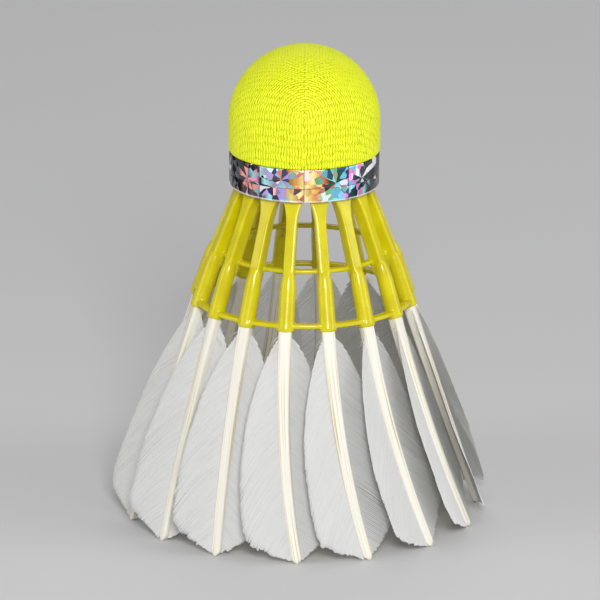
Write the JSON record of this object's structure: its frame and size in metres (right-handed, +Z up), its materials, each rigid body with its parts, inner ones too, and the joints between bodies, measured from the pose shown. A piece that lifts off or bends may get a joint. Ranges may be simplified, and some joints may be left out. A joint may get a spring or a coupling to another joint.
{
  "type": "badminton shuttlecock",
  "caption": "Hybrid badminton shuttlecock: domed cork head with textured cover and foil band, moulded yellow frame with sockets, and a ring of cut feathers.",
  "frame": {"origin": "on the skirt's axis, at the plane of the feather tips that it stands on", "axes": "+Z up along the skirt's axis towards the head; -Y is the front, between the fourth and fifth feathers"},
  "size_m": [0.0662, 0.0649, 0.0847],
  "materials": {
    "cover": "fluorescent yellow-green, fine woven grain, matt",
    "cork": "natural cork, hidden in the head",
    "foil": "holographic foil tape, mirror-like with coloured facets",
    "frame": "glossy yellow moulded nylon",
    "shaft": "cream-white keratin, lengthwise ridges, satin",
    "vane": "light grey-white feather barbs, soft"
  },
  "bodies": {
    "root": {"head_cover": "cover", "head_core": "cork", "foil_band": "foil", "frame": "frame", "feather_01_shaft": "shaft", "feather_01_vane_left": "vane", "feather_01_vane_right": "vane", "feather_02_shaft": "shaft", "feather_02_vane_left": "vane", "feather_02_vane_right": "vane", "feather_03_shaft": "shaft", "feather_03_vane_left": "vane", "feather_03_vane_right": "vane", "feather_04_shaft": "shaft", "feather_04_vane_left": "vane", "feather_04_vane_right": "vane", "feather_05_shaft": "shaft", "feather_05_vane_left": "vane", "feather_05_vane_right": "vane", "feather_06_shaft": "shaft", "feather_06_vane_left": "vane", "feather_06_vane_right": "vane", "feather_07_shaft": "shaft", "feather_07_vane_left": "vane", "feather_07_vane_right": "vane", "feather_08_shaft": "shaft", "feather_08_vane_left": "vane", "feather_08_vane_right": "vane", "feather_09_shaft": "shaft", "feather_09_vane_left": "vane", "feather_09_vane_right": "vane", "feather_10_shaft": "shaft", "feather_10_vane_left": "vane", "feather_10_vane_right": "vane", "feather_11_shaft": "shaft", "feather_11_vane_left": "vane", "feather_11_vane_right": "vane", "feather_12_shaft": "shaft", "feather_12_vane_left": "vane", "feather_12_vane_right": "vane", "feather_13_shaft": "shaft", "feather_13_vane_left": "vane", "feather_13_vane_right": "vane", "feather_14_shaft": "shaft", "feather_14_vane_left": "vane", "feather_14_vane_right": "vane", "feather_15_shaft": "shaft", "feather_15_vane_left": "vane", "feather_15_vane_right": "vane", "feather_16_shaft": "shaft", "feather_16_vane_left": "vane", "feather_16_vane_right": "vane"}
  },
  "joints": []
}
